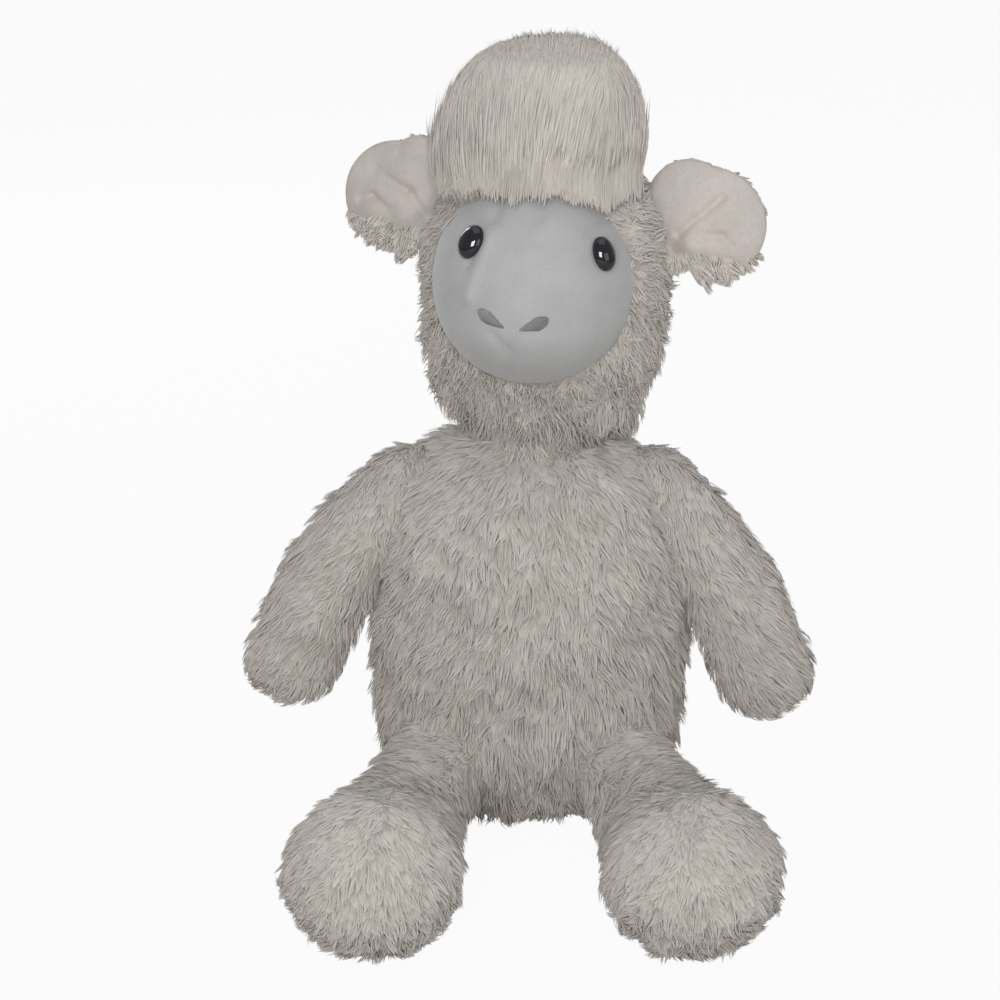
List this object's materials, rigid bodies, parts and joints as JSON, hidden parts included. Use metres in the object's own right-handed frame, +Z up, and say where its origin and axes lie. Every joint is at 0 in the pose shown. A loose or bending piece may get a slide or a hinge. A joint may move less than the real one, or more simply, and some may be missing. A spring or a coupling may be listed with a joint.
{
  "type": "plush llama",
  "caption": "Sitting plush llama of cream fur with a smooth grey-white face, black oval eyes, a long-pile topknot, lined ears and soft limbs that turn at their seams.",
  "frame": {"origin": "on the floor under the middle of the toy's bounding box", "axes": "+Z up; the toy faces -Y; +X is the toy's own left side"},
  "size_m": [0.2552, 0.2542, 0.3489],
  "materials": {
    "cream_fur": "long combed pile, matt with a faint sheen",
    "long_fur": "long straight pile",
    "face_pile": "short smooth pile",
    "ear_lining": "short smooth pile",
    "fibre_fill": "loose polyester fibre",
    "bag_cloth": "plain woven",
    "black_plastic": "glossy",
    "washer_plastic": "plain moulded",
    "grey_thread": "satin stitch"
  },
  "bodies": {
    "torso": {"torso_front_panel": "cream_fur", "torso_back_panel": "cream_fur", "torso_stuffing": "fibre_fill", "seat_pellet_bag": "bag_cloth"},
    "head": {"head_left_panel": "cream_fur", "head_right_panel": "cream_fur", "head_stuffing": "fibre_fill", "face_panel": "face_pile", "topknot": "long_fur", "eye_right": "black_plastic", "eye_left": "black_plastic", "eye_washer_right": "washer_plastic", "eye_washer_left": "washer_plastic", "nostril_right": "grey_thread", "nostril_left": "grey_thread"},
    "ear_left": {"ear_left_back": "cream_fur", "ear_left_lining": "ear_lining"},
    "ear_right": {"ear_right_back": "cream_fur", "ear_right_lining": "ear_lining"},
    "arm_left": {"arm_left_front_panel": "cream_fur", "arm_left_back_panel": "cream_fur", "arm_left_stuffing": "fibre_fill"},
    "arm_right": {"arm_right_front_panel": "cream_fur", "arm_right_back_panel": "cream_fur", "arm_right_stuffing": "fibre_fill"},
    "leg_left": {"leg_left_outer_panel": "cream_fur", "leg_left_inner_panel": "cream_fur", "leg_left_stuffing": "fibre_fill"},
    "leg_right": {"leg_right_outer_panel": "cream_fur", "leg_right_inner_panel": "cream_fur", "leg_right_stuffing": "fibre_fill"},
    "tail": {"tail": "cream_fur"}
  },
  "joints": [
    {"name": "neck_nod", "type": "hinge", "parent": "torso", "child": "head", "pos_m": [0.00204, 0.04726, 0.172], "axis": [1, 0, 0], "range_deg": [-12, 16], "stiffness_Nm_per_rad": 1.2},
    {"name": "shoulder_left_rise", "type": "hinge", "parent": "torso", "child": "arm_left", "pos_m": [0.05254, 0.04326, 0.157], "axis": [0, -1, 0], "range_deg": [0, 80]},
    {"name": "shoulder_right_rise", "type": "hinge", "parent": "torso", "child": "arm_right", "pos_m": [-0.05246, 0.04326, 0.157], "axis": [0, 1, 0], "range_deg": [0, 80]},
    {"name": "hip_left_splay", "type": "hinge", "parent": "torso", "child": "leg_left", "pos_m": [0.04004, 0.01126, 0.034], "axis": [0, 0, 1], "range_deg": [-7, 20], "stiffness_Nm_per_rad": 0.1},
    {"name": "hip_right_splay", "type": "hinge", "parent": "torso", "child": "leg_right", "pos_m": [-0.03996, 0.01126, 0.034], "axis": [0, 0, -1], "range_deg": [-7, 20], "stiffness_Nm_per_rad": 0.1},
    {"name": "ear_left_fold", "type": "hinge", "parent": "head", "child": "ear_left", "pos_m": [0.05648, 0.03929, 0.26736], "axis": [-0.0611, 0, -0.9981], "range_deg": [-20, 25], "stiffness_Nm_per_rad": 0.03},
    {"name": "ear_right_fold", "type": "hinge", "parent": "head", "child": "ear_right", "pos_m": [-0.03844, 0.063, 0.27316], "axis": [0.0611, 0, 0.9981], "range_deg": [-20, 25], "stiffness_Nm_per_rad": 0.03},
    {"name": "tail_lift", "type": "hinge", "parent": "torso", "child": "tail", "pos_m": [0.00004, 0.09626, 0.05], "axis": [1, 0, 0], "range_deg": [0, 28], "stiffness_Nm_per_rad": 0.02}
  ]
}
